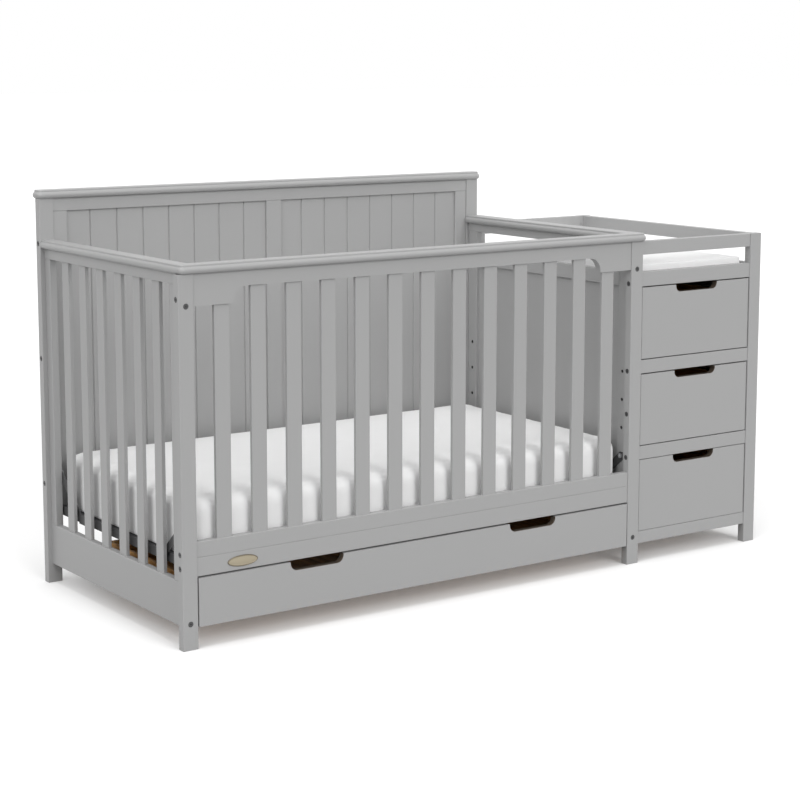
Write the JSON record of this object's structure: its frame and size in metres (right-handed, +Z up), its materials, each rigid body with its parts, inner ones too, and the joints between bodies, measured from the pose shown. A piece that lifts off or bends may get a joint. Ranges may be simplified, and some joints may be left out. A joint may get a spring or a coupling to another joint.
{
  "type": "crib with attached changer",
  "caption": "Slatted crib with a boarded headboard, a mattress on a height-adjustable support and a drawer under it, joined to a changing table with a guarded top, a pad and stacked drawers.",
  "frame": {"origin": "middle of the object's base, on the floor", "axes": "+X along the length towards the changer, +Y from the slatted front towards the headboard, +Z up"},
  "size_m": [1.859, 0.777, 1.034],
  "materials": {
    "painted_wood": "satin pale grey paint",
    "drawer_wood": "clear satin, amber brown",
    "black_steel": "black powder coat",
    "zinc_steel": "zinc plated",
    "mattress_cover": "white woven cover",
    "pad_cover": "white wipe-clean cover"
  },
  "bodies": {
    "frame": {"left_front_post": "painted_wood", "shared_front_post": "painted_wood", "left_head_post": "painted_wood", "right_head_post": "painted_wood", "front_cap": "painted_wood", "left_end_cap": "painted_wood", "shared_end_cap": "painted_wood", "headboard_cap": "painted_wood", "front_top_rail": "painted_wood", "front_slats": "painted_wood", "front_lower_rail": "painted_wood", "front_apron": "painted_wood", "left_end_top_rail": "painted_wood", "left_end_slats": "painted_wood", "left_end_bottom_rail": "painted_wood", "left_end_stiles": "painted_wood", "headboard_top_rail": "painted_wood", "headboard_bottom_rail": "painted_wood", "headboard_stiles": "painted_wood", "headboard_left_panel": "painted_wood", "headboard_right_panel": "painted_wood", "shared_end_top_rail": "painted_wood", "shared_end_middle_rail": "painted_wood", "shared_end_stiles": "painted_wood", "shared_end_panel": "painted_wood", "shared_end_bottom_rail": "painted_wood", "changer_front_post": "painted_wood", "changer_back_post": "painted_wood", "changer_inner_post": "painted_wood", "changer_side_panel": "painted_wood", "changer_back_panel": "painted_wood", "changer_front_guard": "painted_wood", "changer_side_guard": "painted_wood", "changer_back_guard": "painted_wood", "changer_pad_rail": "painted_wood", "changer_dividers": "painted_wood", "changer_bottom_rail": "painted_wood", "changer_top_board": "painted_wood", "changer_runners": "zinc_steel", "frame_bolts": "black_steel", "barrel_nuts": "zinc_steel", "runner_cleats": "drawer_wood", "under_runners": "zinc_steel"},
    "support": {"mattress_support": "black_steel", "support_hangers": "black_steel", "support_bolts": "zinc_steel"},
    "mattress": {"mattress": "mattress_cover"},
    "pad": {"changing_pad": "pad_cover"},
    "under_drawer": {"under_drawer_front": "painted_wood", "under_drawer_box": "drawer_wood", "under_drawer_slides": "zinc_steel"},
    "top_drawer": {"top_drawer_front": "painted_wood", "top_drawer_box": "drawer_wood", "top_drawer_slides": "zinc_steel"},
    "middle_drawer": {"middle_drawer_front": "painted_wood", "middle_drawer_box": "drawer_wood", "middle_drawer_slides": "zinc_steel"},
    "lower_drawer": {"lower_drawer_front": "painted_wood", "lower_drawer_box": "drawer_wood", "lower_drawer_slides": "zinc_steel"}
  },
  "joints": [
    {"name": "support_height", "type": "slide", "parent": "frame", "child": "support", "axis": [0, 0, 1], "range_m": [0, 0.2325]},
    {"name": "mattress_lift", "type": "slide", "parent": "support", "child": "mattress", "axis": [0, 0, 1], "range_m": [0, 0.25]},
    {"name": "pad_lift", "type": "slide", "parent": "frame", "child": "pad", "axis": [0, 0, 1], "range_m": [0, 0.1]},
    {"name": "under_drawer_slide", "type": "slide", "parent": "frame", "child": "under_drawer", "axis": [0, -1, 0], "range_m": [0, 0.34]},
    {"name": "top_drawer_slide", "type": "slide", "parent": "frame", "child": "top_drawer", "axis": [0, -1, 0], "range_m": [0, 0.375]},
    {"name": "middle_drawer_slide", "type": "slide", "parent": "frame", "child": "middle_drawer", "axis": [0, -1, 0], "range_m": [0, 0.375]},
    {"name": "lower_drawer_slide", "type": "slide", "parent": "frame", "child": "lower_drawer", "axis": [0, -1, 0], "range_m": [0, 0.375]}
  ]
}
